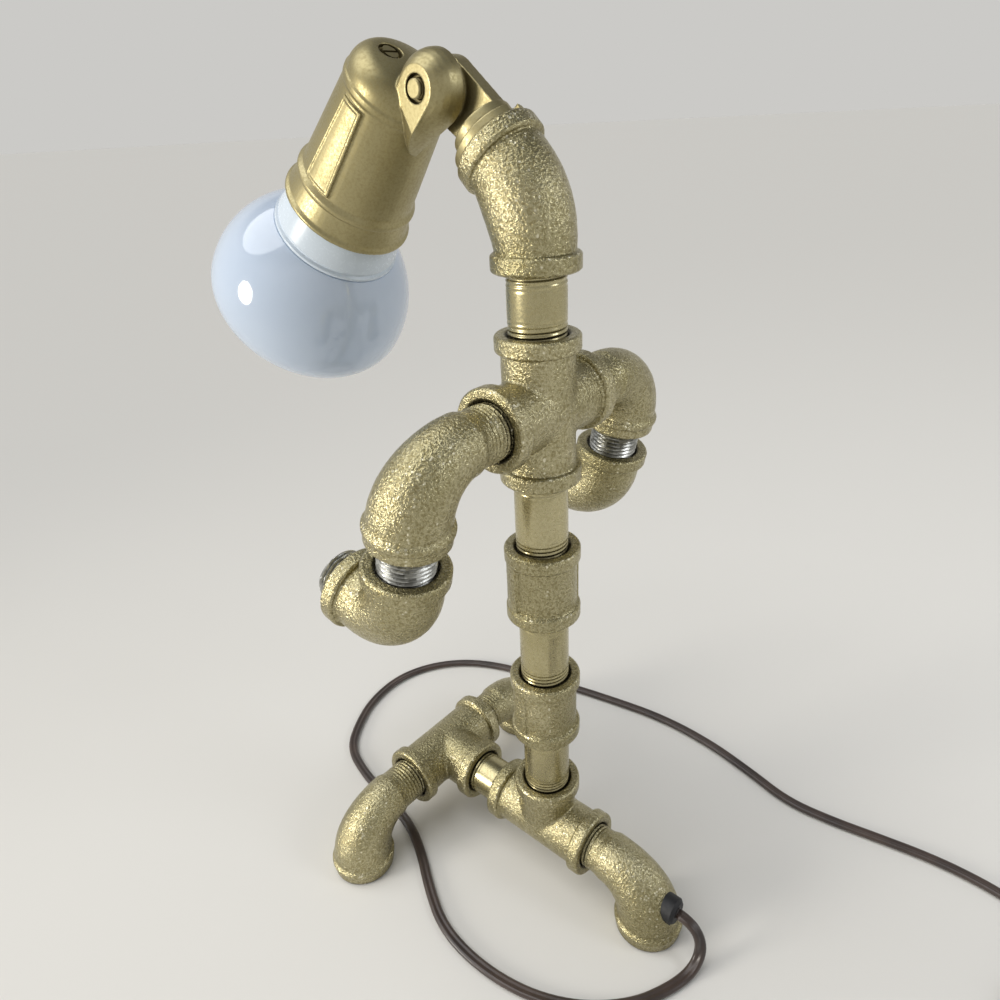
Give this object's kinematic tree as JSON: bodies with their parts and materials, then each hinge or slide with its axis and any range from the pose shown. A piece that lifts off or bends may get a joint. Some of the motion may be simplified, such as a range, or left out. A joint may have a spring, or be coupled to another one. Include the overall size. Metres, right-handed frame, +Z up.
{
  "type": "pipe figure table lamp",
  "caption": "Table lamp built of half-inch pipe fittings as a small standing figure, with a swivelling lampholder and opal bulb as its head, an in-line rocker switch and a corded plug.",
  "frame": {"origin": "on the floor, under the middle of the figure's bounding box without its cord", "axes": "+Z up the column, the figure faces -Y, its left side is +X; the cord leaves the rear foot towards +Y"},
  "size_m": [0.204, 0.4072, 0.3696],
  "materials": {
    "gold_iron": "rough cast iron sprayed metallic gold",
    "gold_pipe": "smooth pipe sprayed metallic gold",
    "gold_diecast": "smooth die casting sprayed metallic gold, satin",
    "zinc_pipe": "galvanised steel pipe, unpainted",
    "steel": "zinc plated screws",
    "brass": "bright stamped brass",
    "black_rubber": "matte",
    "phenolic": "moulded phenolic",
    "milky_glass": "opal glass, glossy, bulb not lit",
    "white_collar": "satin white",
    "board": "printed light board",
    "brown_cord": "brown vinyl flat twin cord",
    "brown_plastic": "moulded brown plastic",
    "lead_wire": "insulated wire",
    "copper": "crimped copper splices"
  },
  "bodies": {
    "stand": {"rear_foot": "gold_iron", "base_tee": "gold_iron", "base_nipple": "gold_pipe", "front_tee": "gold_iron", "lower_nipple": "gold_pipe", "lower_coupling": "gold_iron", "middle_nipple": "gold_pipe", "upper_coupling": "gold_iron", "upper_nipple": "gold_pipe", "body_cross": "gold_iron", "left_foot": "gold_iron", "right_foot": "gold_iron", "neck_nipple": "gold_pipe", "cord_grommet": "black_rubber", "inner_cord": "brown_cord", "cord_run": "brown_cord", "cord_lead": "brown_cord", "cord_tail": "brown_cord", "cord_coil": "brown_cord", "coil_tie": "brown_plastic", "switch_base": "brown_plastic", "switch_cover": "brown_plastic", "switch_contacts": "brass", "switch_screws": "steel", "switch_cord": "brown_cord", "plug_body": "brown_plastic", "plug_blades": "brass", "plug_relief": "brown_plastic", "plug_cord": "brown_cord"},
    "neck": {"neck_elbow": "gold_iron", "arm_locknut": "gold_diecast", "swivel_arm": "gold_diecast", "splices": "copper", "neck_leads": "lead_wire"},
    "head": {"lampholder_housing": "gold_diecast", "top_screw": "gold_diecast", "socket_insulator": "phenolic", "terminal_screws": "steel", "socket_shell": "brass", "centre_contact": "brass", "mouth_gasket": "black_rubber", "pivot_screw": "gold_diecast", "lock_washer": "steel", "socket_leads": "lead_wire"},
    "bulb_base": {"bulb_cap": "brass"},
    "bulb": {"bulb_collar": "white_collar", "bulb_globe": "milky_glass", "led_board": "board", "bulb_insulator": "phenolic", "bulb_contact": "steel"},
    "left_upper_arm": {"left_shoulder": "gold_iron", "left_arm_nipple": "zinc_pipe"},
    "left_lower_arm": {"left_forearm": "gold_iron", "left_hand_nipple": "zinc_pipe"},
    "right_upper_arm": {"right_shoulder": "gold_iron", "right_arm_nipple": "zinc_pipe"},
    "right_lower_arm": {"right_forearm": "gold_iron", "right_hand_nipple": "zinc_pipe"},
    "rocker": {"switch_rocker": "brown_plastic"}
  },
  "joints": [
    {"name": "neck_turn", "type": "hinge", "parent": "stand", "child": "neck", "pos_m": [0, 0.04702, 0.2753], "axis": [0, 0, 1], "range_deg": [-45, 45]},
    {"name": "head_tilt", "type": "hinge", "parent": "neck", "child": "head", "pos_m": [0, 0.00777, 0.35238], "axis": [-1, 0, 0], "range_deg": [-20, 55]},
    {"name": "bulb_travel", "type": "slide", "parent": "head", "child": "bulb_base", "axis": [0, -0.6807, -0.7325], "range_m": [0, 0.026]},
    {"name": "bulb_turn", "type": "hinge", "parent": "bulb_base", "child": "bulb", "pos_m": [0, -0.00594, 0.36143], "axis": [0, -0.6807, -0.7325], "range_deg": [0, 2580]},
    {"name": "left_shoulder_turn", "type": "hinge", "parent": "stand", "child": "left_upper_arm", "pos_m": [0.0639, 0.04702, 0.2469], "axis": [-1, 0, 0], "range_deg": [-45, 90]},
    {"name": "left_elbow_turn", "type": "hinge", "parent": "left_upper_arm", "child": "left_lower_arm", "pos_m": [0.0639, 0.04702, 0.2469], "axis": [0, -0.2164, -0.9763], "range_deg": [-90, 90]},
    {"name": "right_shoulder_turn", "type": "hinge", "parent": "stand", "child": "right_upper_arm", "pos_m": [-0.0639, 0.04702, 0.2469], "axis": [-1, 0, 0], "range_deg": [-45, 90]},
    {"name": "right_elbow_turn", "type": "hinge", "parent": "right_upper_arm", "child": "right_lower_arm", "pos_m": [-0.0639, 0.04702, 0.2469], "axis": [0, -0.2164, -0.9763], "range_deg": [-90, 90]},
    {"name": "rocker_tip", "type": "hinge", "parent": "stand", "child": "rocker", "pos_m": [-0.05541, 0.26889, 0.0124], "axis": [-0.168, 0.9858, 0], "range_deg": [-16, 0]}
  ],
  "couplings": [
    {"joint": "bulb_turn", "follows": "bulb_travel", "rad_per_m": 1730.9}
  ]
}
